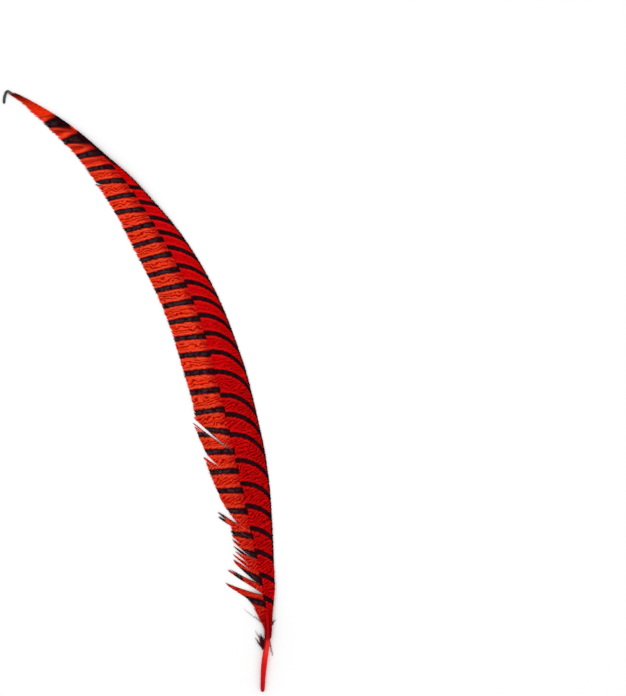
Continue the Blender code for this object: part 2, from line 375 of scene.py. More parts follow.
def bar_share(knots, thickness, base, slope=0.0):
    """Bar number at a place, and half a bar's thickness as a share of the distance between bars."""
    number = smooth(knots, base)
    per_mm = np.abs(smooth(knots, base + 1) - smooth(knots, base - 1)) / 2
    half = thickness / 2 * np.sqrt(1 + slope**2) * np.maximum(per_mm, FEWEST_BARS_PER_MM)
    shown = (number > knots[-1][1] + 0.5) & (number < knots[0][1] - 0.5)
    return number, np.where(shown, half, NO_BAR)


def left_bars(station, out):
    """bar_share on the left vane. Near the tip the bars spread and run together at the shaft."""
    out = np.maximum(out, 0)
    base = station
    for _ in range(BAR_PASSES):
        slant = np.tan(np.radians(smooth(LEFT_SLANT, base)))
        base = station - slant * out * (LEFT_LEAN - LEFT_BEND * out)
        base = base + 1.5 * ramp(base, 378, 392) * beside_shaft(out, 4)
    spread = 1.15 - 0.15 * ramp(out, 2, 9) + ramp(base, 372, 392) * beside_shaft(out, 5)
    slope = slant * (LEFT_LEAN - 2 * LEFT_BEND * out)
    return bar_share(LEFT_BARS, smooth(LEFT_THICKNESS, base) * spread, base, slope)


def right_bars(station, out, edge):
    """bar_share on the right vane, where a bar curves on until it runs along the edge."""
    share = np.clip(out / edge, 0, 0.98)
    bend = np.sqrt(1 - share**2)
    base = station
    for _ in range(BAR_PASSES):
        slant = np.tan(np.radians(smooth(RIGHT_SLANT, base)))
        base = station + slant * np.maximum(out, 0) + edge**2 / RIGHT_WIDEST * (1 - bend)
    slope = np.minimum(slant + edge * share / bend / RIGHT_WIDEST, STEEPEST_BAR)
    thinner = 1.05 - 0.4 * share**2
    return bar_share(RIGHT_BARS, smooth(RIGHT_THICKNESS, base) * thinner, base, slope)


def right_edge():
    """Stations and outs along the outline of the right vane."""
    web = WEBS[0]
    roots = np.linspace(*web.roots, 400)
    inner = smooth(SHAFT_HALF_WIDTH, roots) + CLEARANCE
    reach = smooth(web.reach, roots)
    return roots + (reach - inner) / np.tan(np.radians(smooth(web.lean, roots))), reach


def tip_strip(station):
    return np.interp(station, *np.array(TIP_STRIP, float).T)


def left_pigment(station, out):
    """Bar number, half thickness and dark border of places on the left vane.

    The barbs below the long split have slipped back, and the ends of their bars with them.
    """
    below = station < LONG_SPLIT_ROOT + LONG_SPLIT_LEAN * out
    slipped = LONG_SPLIT_SLIP * ramp(station, 166, 174) * below
    strip = tip_strip(station) * ramp(station, 380, 392)
    return *left_bars(station + slipped, out), 0.9 * strip * ramp(out, 2.0, 0.8)


def right_pigment(station, out):
    """The same on the right vane, which has a thin dark edge and a dark strip near the tip."""
    edge = np.interp(station, *right_edge())
    border = ramp(edge - out, 1.3, 0.4) * ramp(station, 70, 90)
    strip = tip_strip(station) * ramp(edge - out, 2.4, 1.2)
    at_tip = np.maximum(strip, border * ramp(station, TIP_STATION + 20, TIP_STATION))
    return *right_bars(station, out, edge), np.where(station > TIP_STATION, at_tip, border)


def lock_pigment(lock):
    """The same on a lock: the vane's bars near the shaft, then a dark stretch of its own."""
    middle, length = lock.dark
    knots = [(middle - LOCK_BAR_SPACING, 1), (middle, 0), (middle + LOCK_BAR_SPACING, -1)]

    def pigment(station, out):
        both = zip(left_bars(station, out), bar_share(knots, length, out))
        number, half = (np.where(out < middle / 2, vane, own) for vane, own in both)
        return number, half, 0 * station

    return pigment


# --- meshes

def face_outwards(points, faces, quads):
    """The faces, turned round if the sides of the strands look inwards."""
    a, b, c, d = (points[quads[:, k]] for k in range(4))
    inwards = np.einsum("ij,ij->i", a + b + c + d, np.cross(c - a, d - b)).sum() < 0
    return [face[::-1] for face in faces] if inwards else faces


def mesh_from_strands(name, rings, values, uv):
    """Closed strands from rings of points, shaped (strand, ring, side, xyz), with named values per point."""
    strands, count, sides = rings.shape[:3]
    index = np.arange(strands * count * sides).reshape(strands, count, sides)
    around = np.roll(index, -1, axis=2)
    quads = np.stack([index[:, :-1], index[:, 1:], around[:, 1:], around[:, :-1]], -1).reshape(-1, 4)
    starts, ends = index[:, 0, :].reshape(-1, sides), index[:, -1, ::-1].reshape(-1, sides)
    points = rings.reshape(-1, 3)
    faces = face_outwards(points, [*quads.tolist(), *starts.tolist(), *ends.tolist()], quads)
    mesh = bpy.data.meshes.new(name)
    mesh.from_pydata(points.tolist(), [], faces)
    for key, value in values.items():
        spread = np.broadcast_to(value, index.shape).astype(np.float32).ravel()
        mesh.attributes.new(key, "FLOAT", "POINT").data.foreach_set("value", spread)
    add_uv(mesh, np.stack([np.broadcast_to(part, index.shape).ravel() for part in uv], -1))
    mesh.shade_smooth()
    mesh.set_sharp_from_angle(angle=radians(SHARP_ANGLE))
    return mesh


def add_uv(mesh, flat):
    """Lays the mesh out by a pair of values for each point, fitted to the square."""
    corners = np.empty(len(mesh.loops), np.int32)
    mesh.loops.foreach_get("vertex_index", corners)
    low, high = flat.min(0), flat.max(0)
    flat = UV_MARGIN + (1 - 2 * UV_MARGIN) * (flat - low) / np.maximum(high - low, 1e-9)
    layer = mesh.uv_layers.new(name="OFBake")
    layer.uv.foreach_set("vector", flat[corners].astype(np.float32).ravel())


def add_piece(name, mesh, material, node):
    """Links a mesh as a piece that stands for a solid and rides on the feather's body."""
    mesh.materials.append(material)
    piece = bpy.data.objects.new(name, mesh)
    bpy.context.scene.collection.objects.link(piece)
    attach(piece, BODY)
    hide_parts(node)


# --- barbs

def along_barb(size, crowding):
    """Shares of a barb's length, closer together towards its tip the higher crowding is."""
    return 1 - (1 - np.linspace(0, 1, size.barb_segments + 1)[None]) ** crowding


def gather_tufts(web, roots, reach):
    """How far barbs are pulled aside into tufts, their new reach and which of their tips are dark."""
    pulled, dark_tips = 0 * roots, 0 * roots
    for low, high, pull, longer in web.tufts:
        inside = (roots >= low) & (roots < high)
        aside = ((low + high) / 2 - roots) * inside
        reach = reach + longer * inside - 1.2 * pull * np.abs(aside) / (high - low)
        pulled = pulled + pull * aside
        dark_tips = dark_tips + inside * (longer > 0.3)
    return pulled, reach, dark_tips


def web_lanes(web, size, rng):
    """Stations and outs of the middle lines of a web's barbs, one row a barb, and which tips are dark."""
    roots = np.arange(web.roots[0], web.roots[1] + 1e-6, size.barb_pitch)[:, None]
    share = along_barb(size, 1.25)
    half_width = smooth(SHAFT_HALF_WIDTH, roots)
    reach = smooth(web.reach, roots)
    length = np.maximum(reach - half_width, SHORTEST_BARB)
    ragged = size.edge_raggedness * np.clip(length / 6, 0.15, 1)
    if web.side == RIGHT:
        ragged = ragged * 0.4
    reach = reach + ragged * rng.normal(0, 0.8, roots.shape).clip(-2, 1.2)
    pulled, reach, dark_tips = gather_tufts(web, roots, reach)
    start = ROOT_SHARE * half_width
    out = start + share * (reach - start)
    lean = np.tan(np.radians(smooth(web.lean, roots)))
    station = roots + (out - half_width - CLEARANCE) / lean
    station = station - BARB_BOW * length * share * (1 - share) + pulled * share**2
    for root, begins, gap in web.partings:
        far = (roots - root) / PARTING_REACH
        opened = ramp(out, begins, begins + 0.8 * (reach - begins).clip(0.5))
        station = station + np.sign(far) * gap / 2 * np.exp(-np.abs(far)) * opened
    drift = np.cumsum(rng.normal(0, 0.05, roots.shape), axis=0)
    drift = drift - np.linspace(0, 1, len(roots))[:, None] * drift[-1]
    return station + 0.12 * np.sin(drift * 9) * share**2, out, dark_tips


def lock_lanes(lock, size, rng):
    """The same for a lock: its barbs narrow to the tips of its strands."""
    strands = len(lock.tips)
    span = lock.roots[1] - lock.roots[0]
    each = max(4, round(1.4 * span / size.barb_pitch / strands))
    strand = np.repeat(np.arange(strands), each)[:, None]
    within = np.tile((np.arange(each) + 0.5) / each - 0.5, strands)[:, None]
    share = along_barb(size, 1.1)
    root = sum(lock.roots) / 2 + ((strand + 0.5) / strands - 0.5) * span
    tip_station, tip_out = (np.array(lock.tips)[strand, k] for k in range(2))
    middle = root + share * (tip_station - root) + 4 * lock.bow * share * (1 - share)
    spacing = span / strands
    if strands > 1:
        spacing = spacing + share * (np.ptp(np.array(lock.tips)[:, 0]) / (strands - 1) - spacing)
    width = 0.3 + (spacing - 0.3) * np.minimum(1, lock.fullness * (1 - share) ** 0.5)
    start = ROOT_SHARE * smooth(SHAFT_HALF_WIDTH, root)
    tip_out = tip_out - 3.5 * rng.random(within.shape) * np.abs(within)
    out = start + share * (tip_out - start)
    flare = LOCK_FLARE * ((strand + 0.5 + within) / strands - 0.5) * beside_shaft(out, 4)
    return middle + within * width + flare, out, 1 + 0 * within


def barb_room(station, out, along, pitch):
    """Width that each barb has to itself, between its neighbours."""
    full = pitch * np.abs(along[1])
    aside = np.gradient(station, axis=0), np.gradient(out, axis=0)
    room = np.abs(aside[0] * along[1] - aside[1] * along[0])
    return np.clip(room, 0.4 * full, full)


def barb_rings(station, out, side, size, fray, rng):
    """Rings of six points along each barb: two knife edges, a ridge on top and a keel below."""
    along = np.gradient(station, axis=1), np.gradient(out, axis=1)
    length = np.hypot(*along)
    along = along[0] / length, along[1] / length
    width = size.barb_overlap * barb_room(station, out, along, size.barb_pitch)
    left = np.cumsum(length[:, ::-1], axis=1)[:, ::-1] - length / 2
    joined = np.clip(left / (fray * (0.75 + 0.5 * rng.random((len(station), 1)))), 0, 1)
    width = width * (TIP_WIDTH + (1 - TIP_WIDTH) * joined**0.8)
    across = np.array(RING_ACROSS)
    sideways = across[None, None] * width[..., None] / 2
    ring_station = station[..., None] + along[1][..., None] * sideways
    ring_out = out[..., None] - along[0][..., None] * sideways
    height = vane_height(station, out) + 0.03 * rng.normal(0, 1, (len(station), 1)).clip(-1.5, 1.5)
    height = height + WAVE_HEIGHT * np.sin(station / 9 + out / 5) * ramp(out, 2, 8)
    height = height[..., None] + size.barb_tilt * across * (width / width.max())[..., None]
    lift = np.array([0, 0.02, size.barb_ridge, 0.02, 0, -1.3 * size.barb_ridge])
    slim = (0.35 + 0.65 * joined) * np.linspace(1, 0.7, station.shape[1])
    rings = place(ring_station, side * ring_out, np.maximum(height + lift * slim[..., None], LOWEST))
    # The outermost barbs of each web count as partly loose, so the painted light on loose ends also lies
    # beside the splits.
    nearest_edge = np.minimum(np.arange(len(station)), np.arange(len(station))[::-1])
    loose = np.maximum(1 - joined, 0.55 * np.exp(-nearest_edge)[:, None])[..., None]
    return rings, ring_station, ring_out, np.cumsum(length, axis=1)[..., None], loose


def add_barbs(strip, lanes, fray, size, material, pigment, seed):
    """Adds the barbs of a web or lock along its lanes, with what its material needs at each point."""
    rng = np.random.default_rng(seed)
    station, out, dark_tips = lanes
    rings, at, outward, grain, loose = barb_rings(station, out, strip.side, size, fray, rng)
    number, half, border = pigment(at, outward)
    border = np.maximum(border, 0.9 * dark_tips[..., None] * ramp(loose, 0.2, 0.8))
    own = rng.random((len(at), 1, 1))
    values = {
        "station": at, "out": strip.side * outward, "bar_number": number, "bar_half": half,
        "border": border, "across": np.array(RING_ACROSS), "grain": grain, "loose": loose, "tone": own,
        "line": at + strip.side * outward * smooth(LINE_TURN, at) + 0.25 * (own - 0.5),
    }
    mesh = mesh_from_strands(strip.name, rings, values, (at, outward))
    add_piece(f"{strip.name}_barbs", mesh, material, strip.name)


# --- shaft and down

def shaft_outline(station, angle):
    """Outs and heights round the shaft, as a grid of stations and angles."""
    half_height = smooth(SHAFT_HEIGHT, station) / 2
    ends = [share for _, share in ROUNDED_END]
    rounded = np.array([*ends, *np.ones(len(station) - len(ends))])[:, None]
    square = 1 - 0.22 * ramp(station, 40, 90)
    across = np.sign(np.cos(angle)) * np.abs(np.cos(angle)) ** square
    up = np.sign(np.sin(angle)) * np.abs(np.sin(angle)) ** square
    up = np.where(up > 0, up * (1 - 0.4 * ramp(station, 45, 90)), up)
    groove = 0.34 * ramp(station, 36, 60) * ramp(station, 440, 380)
    up = up + groove * np.exp(-((across / 0.28) ** 2)) * (up < 0)
    ripple = 1 + 0.012 * np.sin(station * 2.3) * ramp(station, 36, 10)
    width = smooth(SHAFT_HALF_WIDTH, station) * rounded * ripple * across
    height = smooth(SHAFT_UNDERSIDE, station) + half_height + half_height * rounded * up
    return width, np.maximum(height, 0.0)


def add_shaft(material):
    """The quill, rachis and bent tip in one closed tube, with the groove that runs under the rachis."""
    straight = np.arange(1.2, LENGTH - 2, SHAFT_STEP)
    hook = np.linspace(LENGTH - 2, LENGTH + HOOK_LENGTH, 40)
    station = np.concatenate([[at for at, _ in ROUNDED_END], straight, hook])[:, None]
    angle = (2 * pi * (np.arange(SHAFT_SIDES) + 0.5) / SHAFT_SIDES)[None]
    out, height = shaft_outline(station, angle)
    at = station + 0 * angle
    left_number, left_half = left_bars(at, out)
    right_number, right_half, border = right_pigment(at, -out)
    values = {"station": at, "out": out, "line": at, "border": border * (at > TIP_STATION),
              "left_number": left_number, "left_half": left_half,
              "right_number": right_number, "right_half": right_half}
    values = {key: value[None] for key, value in values.items()}
    rings = place(at, out, height)[None]
    mesh = mesh_from_strands("shaft", rings, values, (at[None], (angle + 0 * at)[None]))
    add_piece("quill_and_rachis", mesh, material, "shaft")


def spike_rings(points, radius, taper, sides=3):
    """Thin spikes along lines of points, shaped (spike, point, xyz), in millimetres."""
    along = np.gradient(points, axis=1)
    along /= np.maximum(np.linalg.norm(along, axis=-1, keepdims=True), 1e-9)
    level = np.cross(along, [0.0, 0.0, 1.0])
    level /= np.maximum(np.linalg.norm(level, axis=-1, keepdims=True), 1e-9)
    upright = np.cross(level, along)
    angle = 2 * pi * np.arange(sides) / sides
    ring = np.cos(angle)[:, None] * level[..., None, :] + np.sin(angle)[:, None] * upright[..., None, :]
    thick = radius * (1 - taper * np.linspace(0, 1, points.shape[1]))
    return points[..., None, :] + ring * thick[:, None, None]


def plume_stems(tuft, rng):
    """Lines of points along a tuft's curved stems, and the heading of each on the layout."""
    t = np.linspace(0, 1, STEM_POINTS)[None]
    aims = np.array(tuft.tips)[rng.integers(len(tuft.tips), size=tuft.plumes)]
    low, high = tuft.roots
    high = np.clip(aims[:, :1] - 5, low + 0.5, high) if aims[0, 0] > low else high
    root = low + (high - low) * rng.random((tuft.plumes, 1))
    part = rng.uniform(0.35, 1.0, (tuft.plumes, 1))
    part[: len(tuft.tips)] = 1.0
    start = 0.7 * smooth(SHAFT_HALF_WIDTH, root)
    tip_station = root + part * (aims[:, :1] - root) + rng.normal(0, 0.5, part.shape)
    tip_out = start + part * (aims[:, 1:] - start)
    bow = rng.normal(-0.6, 0.5, part.shape)
    station = root + t * (tip_station - root) + 4 * bow * t * (1 - t)
    out = start + t**0.85 * (tip_out - start)
    height = 0.4 + (tuft.height - 0.4) * (1 - t) + 0.25 * rng.normal(0, 1, part.shape).clip(-1, 1)
    stems = np.stack([station, out, np.maximum(height, 0.15)], -1)
    return stems, np.arctan2(tip_out - start, tip_station - root)


def barbules(stems, heading, rng):
    """Lines of points along the finer fibres that stand off both sides of the stems."""
    last = stems.shape[1] - 1
    at = rng.uniform(0.06, 0.98, (len(stems), BARBULES))
    picked = (at * last).astype(int)
    rows = np.arange(len(stems))[:, None]
    base, following = stems[rows, picked], stems[rows, np.minimum(picked + 1, last)]
    base = base + (following - base) * (at * last - picked)[..., None]
    turn = heading + rng.choice([-1, 1], at.shape) * rng.uniform(0.5, 1.1, at.shape)
    length = (rng.uniform(0.5, 1.3, at.shape) * (1.15 - 0.7 * at))[..., None]
    s = np.linspace(0, 1, BARBULE_POINTS)[None, None]
    turn = turn[..., None] + rng.normal(0, 0.5, at.shape)[..., None] * s
    rise = rng.normal(0, 0.25, at.shape)[..., None] * s
    points = np.stack([
        base[..., None, 0] + length * s * np.cos(turn),
        base[..., None, 1] + length * s * np.sin(turn),
        np.maximum(base[..., None, 2] + rise, 0.08)], -1)
    return points.reshape(-1, BARBULE_POINTS, 3)


def add_tuft(tuft, material, seed):
    """Down plumes: thin curved stems, each with many finer loose barbules on both sides."""
    rng = np.random.default_rng(seed)
    stems, heading = plume_stems(tuft, rng)
    fibres = barbules(stems, heading, rng)
    for label, points, radius, taper in (
        ("stems", stems, STEM_RADIUS, 0.75), ("wisps", fibres, BARBULE_RADIUS, 0.7),
    ):
        station, out, height = np.moveaxis(spike_rings(points, radius, taper), -1, 0)
        values = {
            "station": station, "out": tuft.side * out, "tone": rng.random((len(points), 1, 1)),
            "grey": tuft.grey, "loose": np.linspace(0, 1, points.shape[1])[:, None],
        }
        rings = place(station, tuft.side * out, np.maximum(height, LOWEST))
        name = f"{tuft.name}_{label}"
        mesh = mesh_from_strands(name, rings, values, (station, out))
        add_piece(name, mesh, material, tuft.name)


# --- shaders

def feed(socket, value):
    """Gives a socket a number or colour of its own, or links it to another node's socket."""
    if isinstance(value, NodeSocket):
        socket.id_data.links.new(value, socket)
    elif socket.type == "RGBA":
        socket.default_value = (*value[:3], 1)
    else:
        socket.default_value = value


def add_node(tree, kind, inputs=None, **settings):
    node = tree.nodes.new(kind)
    for key, value in settings.items():
        setattr(node, key, value)
    for key, value in (inputs or {}).items():
        feed(node.inputs[key], value)
    return node


def tree_of(*values):
    """The tree of the first of the values that is a socket."""
    return next(value.id_data for value in values if isinstance(value, NodeSocket))


def maths(operation, *values):
    inputs = dict(enumerate(values))
    return add_node(tree_of(*values), "ShaderNodeMath", inputs, operation=operation).outputs[0]


def times(first, second, *added):
    """The product of two values, plus a third if one is given."""
    return maths("MULTIPLY_ADD" if added else "MULTIPLY", first, second, *added)


def blend(factor, first, second, kind="MIX"):
    tree = tree_of(factor, first, second)
    inputs = {0: factor, 6: first, 7: second}
    return add_node(tree, "ShaderNodeMix", inputs, data_type="RGBA", blend_type=kind).outputs[2]


def ease(value, start, end, low=0, high=1):
    """low up to start, high from end on and a smooth step between."""
    inputs = {"Value": value, "From Min": start, "From Max": end, "To Min": low, "To Max": high}
    kind = "ShaderNodeMapRange"
    return add_node(tree_of(value), kind, inputs, interpolation_type="SMOOTHSTEP").outputs[0]


def stored(tree, name):
    return add_node(tree, "ShaderNodeAttribute", attribute_name=name).outputs["Fac"]


def noise(vector, scale, detail=2, rough=0.5):
    inputs = {"Vector": vector, "Scale": scale, "Detail": detail, "Roughness": rough}
    return add_node(tree_of(vector), "ShaderNodeTexNoise", inputs).outputs["Fac"]


def combine(x, y):
    return add_node(tree_of(x, y), "ShaderNodeCombineXYZ", {"X": x, "Y": y}).outputs[0]


def new_group(name, inputs, outputs):
    """An empty node group with float inputs {name: default} and float outputs."""
    tree = bpy.data.node_groups.new(name, "ShaderNodeTree")
    for label, value in inputs.items():
        socket = tree.interface.new_socket(label, in_out="INPUT", socket_type="NodeSocketFloat")
        socket.default_value = value
    for label in outputs:
        tree.interface.new_socket(label, in_out="OUTPUT", socket_type="NodeSocketFloat")
    return tree.nodes.new("NodeGroupInput").outputs, tree.nodes.new("NodeGroupOutput").inputs


def bars_group():
    """Dark bars round the whole numbers of Number, with a streak on both sides and a stretch on one."""
    given, gives = new_group(
        "Pigment Bars", {"Number": 0, "Half": 0.1, "Station": 0, "Out": 0, "Tone": 0.5, "Waver": 0.08},
        ("Mask", "Core", "Beside", "After", "Patch"))
    place_on = combine(given["Station"], given["Out"])
    waver = times(noise(place_on, 0.8), given["Waver"], given["Number"])
    waver = times(given["Waver"], -0.5, waver)
    waver = times(maths("SUBTRACT", given["Tone"], 0.5), 0.035, waver)
    whole = maths("FRACT", maths("ADD", waver, 100.5))
    away = maths("ABSOLUTE", maths("SUBTRACT", whole, 0.5))
    share = maths("DIVIDE", away, maths("MAXIMUM", given["Half"], 0.01))
    shown = maths("GREATER_THAN", given["Half"], 0)
    mask = ease(share, 0.74, 1.26, 1, 0)
    core = ease(share, 0.15, 0.85, 1, 0)
    beside = times(ease(share, 1.15, 1.45), ease(share, 1.6, 2.3, 1, 0))
    after = ease(maths("FRACT", maths("ADD", waver, 100)), 0.5, 0.68, 1, 0)
    feed(gives["Patch"], noise(place_on, 0.35))
    for label, value in (("Mask", mask), ("Core", core), ("Beside", beside), ("After", after)):
        feed(gives[label], times(value, shown))


def lines_group():
    """Short wavy strokes of pigment that run across the web. Line counts millimetres across them."""
    given, gives = new_group(
        "Wavy Lines", {"Station": 0, "Out": 0, "Line": 0, "Period": 2.2, "Warp": 0.42, "Breaks": 0.28},
        ("Mask", "Crest"))
    place_on = combine(given["Station"], given["Out"])
    turns = maths("DIVIDE", given["Line"], given["Period"])
    warp = maths("SUBTRACT", noise(place_on, 0.18), 0.5)
    turns = times(warp, times(given["Warp"], 9), turns)
    wave = maths("SINE", times(turns, 2 * pi))
    broken = noise(place_on, 0.5, 2, 0.6)
    wave = times(maths("SUBTRACT", broken, 0.5), times(given["Breaks"], 8), wave)
    feed(gives["Mask"], ease(wave, -0.1, 0.7))
    # Painted highlight: a pale stroke painted where the wave dips, between the dark lines.
    feed(gives["Crest"], ease(wave, -0.5, -1.3))


def grain_group():
    """The fine barbules: Shade for a barb's colour, with painted light and shade, and Height for its relief.
    """
    given, gives = new_group(
        "Barb Grain", {"Grain": 0, "Across": 0, "Tone": 0.5, "Pitch": 0.14}, ("Shade", "Height"))
    slant = times(maths("ABSOLUTE", given["Across"]), -0.25, given["Grain"])
    wave = maths("SINE", times(maths("DIVIDE", slant, given["Pitch"]), 2 * pi))
    ridge = ease(maths("ABSOLUTE", given["Across"]), 0.05, 0.4, 1, 0)
    feed(gives["Height"], times(wave, 0.3, ridge))
    # Shade: a random tone for each barb, with light and shade painted along the wave of the relief.
    feed(gives["Shade"], times(wave, 0.03, times(given["Tone"], 0.16, 0.92)))


def mottle_group():
    """Uneven take-up of dye: a slow and a fast variation round one."""
    given, gives = new_group("Dye Mottle", {"Station": 0, "Out": 0, "Amount": 0.15}, ("Factor",))
    place_on = combine(given["Station"], given["Out"])
    slow = maths("SUBTRACT", noise(place_on, 0.05), 0.5)
    fast = maths("SUBTRACT", noise(place_on, 0.6, 3), 0.5)
    both = times(fast, 0.7, slow)
    feed(gives["Factor"], times(both, given["Amount"], 1))


def placed(tree, group, inputs):
    """The outputs of a node group placed in a material with its own values."""
    return add_node(tree, "ShaderNodeGroup", inputs, node_tree=bpy.data.node_groups[group]).outputs


def new_material(name, roughness, specular):
    material = bpy.data.materials.new(name)
    material.use_nodes = True
    tree = material.node_tree
    shader = tree.nodes["Principled BSDF"]
    shader.inputs["Roughness"].default_value = roughness
    shader.inputs["Specular IOR Level"].default_value = specular
    return tree, shader


def add_relief(shader, height, strength, distance):
    inputs = {"Height": height, "Strength": strength, "Distance": distance}
    feed(shader.inputs["Normal"], add_node(tree_of(height), "ShaderNodeBump", inputs).outputs[0])


def dyed_web(tree, dye, number, half, border, tone):
    """Colour and darkness of dyed web: fine wavy lines, dark bars with painted sheen in their middle, streaks
    beside them.
    """
    station, out = stored(tree, "station"), stored(tree, "out")
    away = maths("ABSOLUTE", out)
    here = {"Station": station, "Out": out}
    bars = placed(tree, "Pigment Bars", {**here, "Number": number, "Half": half, "Tone": tone})
    lines = placed(tree, "Wavy Lines", {**here, "Line": stored(tree, "line")})
    mottle = placed(tree, "Dye Mottle", {**here, "Amount": 0.3})["Factor"]
    # On the left vane, the deep colour next to the shaft is painted shade where the vane meets the rachis.
    bright = times(ease(away, *dye.brightens), ease(station, *VANE_BRIGHTENS, 0.1, 1))
    colour = blend(bright, dye.deep, dye.bright)
    colour = blend(ease(station, *PLAIN_TIP), colour, dye.tip)
    dusky = times(bars["After"], ease(station, *DUSKY_BARS))
    dusky = times(dusky, ease(away, 4, 11, 1, 0.5))
    colour = blend(dusky, colour, [0.8 * c for c in dye.line])
    fading = ease(station, *dye.fades, 1, dye.faded)
    strength = times(times(lines["Mask"], LINE_STRENGTH), fading)
    colour = blend(strength, colour, dye.line)
    # Painted highlight between the wavy lines. The streak colour below paints it as well as the pale streaks
    # beside the bars.
    painted_highlight = times(times(lines["Crest"], 0.5), fading)
    streak = times(bars["Beside"], times(bright, 0.45, 0.15))
    colour = blend(maths("MAXIMUM", streak, painted_highlight), colour, dye.streak)
    colour = blend(1, colour, mottle, "MULTIPLY")
    base, tip = ease(station, *BASE_BRIGHTENS, 0.65, 1), ease(station, *TIP_DARKENS, 1, 0.45)
    colour = blend(1, colour, times(base, tip), "MULTIPLY")
    colour = blend(ease(station, *TIP_DRIES, 0, 0.9), colour, HOOK_COLOUR)
    # Painted sheen on the middle of the bars, in patches, with less of it beside the shaft.
    worn = times(bars["Core"], ease(bars["Patch"], 0.35, 0.6))
    worn = times(worn, ease(away, 1, 6, 0.15, dye.worn))
    mask = maths("MAXIMUM", bars["Mask"], border)
    return blend(mask, colour, blend(worn, dye.bar, dye.sheen)), mask, lines["Mask"]


def vane_material(name, dye, pale):
    """A dyed vane, barb by barb, with paler loose ends."""
    tree, shader = new_material(name, 0.6, 0.01)
    tone = stored(tree, "tone")
    colour, mask, lines = dyed_web(
        tree, dye, stored(tree, "bar_number"), stored(tree, "bar_half"), stored(tree, "border"), tone)
    relief = {"Grain": stored(tree, "grain"), "Across": stored(tree, "across"), "Tone": tone}
    grain = placed(tree, "Barb Grain", relief)
    colour = blend(1, colour, grain["Shade"], "MULTIPLY")
    # Painted light: the pale colour added to loose barb ends and to the barbs beside the splits.
    ends = times(ease(stored(tree, "loose"), 0.1, 1, 0, dye.pale_ends), times(mask, -0.6, 1))
    feed(shader.inputs["Base Color"], blend(ends, colour, pale, "ADD"))
    feed(shader.inputs["Roughness"], times(lines, 0.06, ease(mask, 0, 1, 0.72, 0.55)))
    add_relief(shader, grain["Height"], 0.5, 0.00003)


def quill_colour(tree, station, out):
    """Colour of the bare quill, with painted shade on its left half, and on its sides and left among the
    down.
    """
    ramp_node = add_node(tree, "ShaderNodeValToRGB", {"Fac": maths("DIVIDE", station, LENGTH)})
    elements = ramp_node.color_ramp.elements
    while len(elements) < len(QUILL_COLOURS):
        elements.new(0.5)
    for element, (at, colour) in zip(elements, QUILL_COLOURS):
        element.position = at / LENGTH
        element.color = (*colour, 1)
    # Painted shade on the quill's sides among the down.
    sides = ease(maths("ABSOLUTE", out), 0.5, 1.3)
    sides = times(sides, ease(station, *QUILL_SIDES_DARKEN))
    # Painted shade on the left half of the round quill.
    horn = blend(ease(out, 0, 1.6, 0, 0.6), ramp_node.outputs[0], QUILL_SHADED_LEFT)
    horn = blend(sides, horn, QUILL_SHADED_SIDES)
    # Painted shade under the down on the quill's left.
    down_shade = times(ease(out, 0.4, 1.2), ease(station, *DOWN_SHADE_STARTS, 0, 0.85))
    down_shade = times(down_shade, ease(station, *DOWN_SHADE_ENDS, 1, 0))
    return blend(down_shade, horn, QUILL_DOWN_SHADE)


def quill_material(left, right):
    """Dyed horn, bright at the top of the quill and dark at its end. The rachis is barred like the vanes."""
    tree, shader = new_material("dyed_quill", 0.3, 0.2)
    station, out = stored(tree, "station"), stored(tree, "out")
    border = stored(tree, "border")
    reds = []
    for side, dye in (("left", left), ("right", right)):
        number, half = stored(tree, f"{side}_number"), stored(tree, f"{side}_half")
        reds.append(dyed_web(tree, dye, number, half, border, 0.5)[0])
    left_red, right_red = reds
    both = blend(1, right_red, left_red, "DARKEN")
    barred = blend(ease(out, -0.5, 0), right_red, both)
    barred = blend(ease(out, 0.8, 1.4), barred, left_red)
    colour = blend(ease(station, *BARS_ON_RACHIS), quill_colour(tree, station, out), barred)
    colour = blend(ease(station, *SHAFT_DRIES), colour, HOOK_COLOUR)
    mottle = placed(tree, "Dye Mottle", {"Station": station, "Out": out, "Amount": 0.3})["Factor"]
    feed(shader.inputs["Base Color"], blend(1, colour, mottle, "MULTIPLY"))
    fibres = noise(combine(times(station, 0.06), times(out, 4)), 2, 3)
    matte = ease(station, 30, 60, 0, 0.4)
    feed(shader.inputs["Roughness"], maths("ADD", ease(fibres, 0.3, 0.7, 0.25, 0.42), matte))
    feed(shader.inputs["Specular IOR Level"], ease(station, 30, 42, 0.05, 0.01))
    add_relief(shader, fibres, 0.35, 0.00008)


def down_material(colour):
    """Dyed down, paler towards the tips of its fibres."""
    tree, shader = new_material("dyed_down", 0.85, 0.1)
    here = {"Station": stored(tree, "station"), "Out": stored(tree, "out")}
    mottle = placed(tree, "Dye Mottle", {**here, "Amount": 0.8})["Factor"]
    paler = blend(ease(stored(tree, "loose"), 0.5, 1, 0, 0.5), colour, DOWN_ENDS)
    paler = blend(stored(tree, "grey"), paler, DOWN_GREY)
    feed(shader.inputs["Base Color"], blend(1, paler, mottle, "MULTIPLY"))
    feed(shader.inputs["Roughness"], ease(stored(tree, "tone"), 0, 1, 0.75, 0.95))


def dye_of(colours, side, **looks):
    """The dye of one side: its own four colours and those that both sides share."""
    own = (getattr(colours, f"{side}_{part}") for part in ("deep", "bright", "line", "streak"))
    return Dye(*own, colours.tip, colours.bar, colours.bar_sheen, **looks)


def make_materials(colours):
    for make_group in (bars_group, lines_group, grain_group, mottle_group):
        make_group()
    # The two sides are partly lit and shaded copies of one dye: painted light on the left vane, painted shade
    # on the right.
    left = dye_of(colours, "left", brightens=(1.6, 7), fades=(345, 400), faded=0.15, worn=1, pale_ends=0.5)
    right = dye_of(colours, "right", brightens=(17, 3), fades=(170, 255), faded=0.4, worn=0.2, pale_ends=0.3)
    vane_material("vane_left", left, colours.pale)
    vane_material("vane_right", right, colours.pale)
    quill_material(left, right)
    down_material(colours.down)


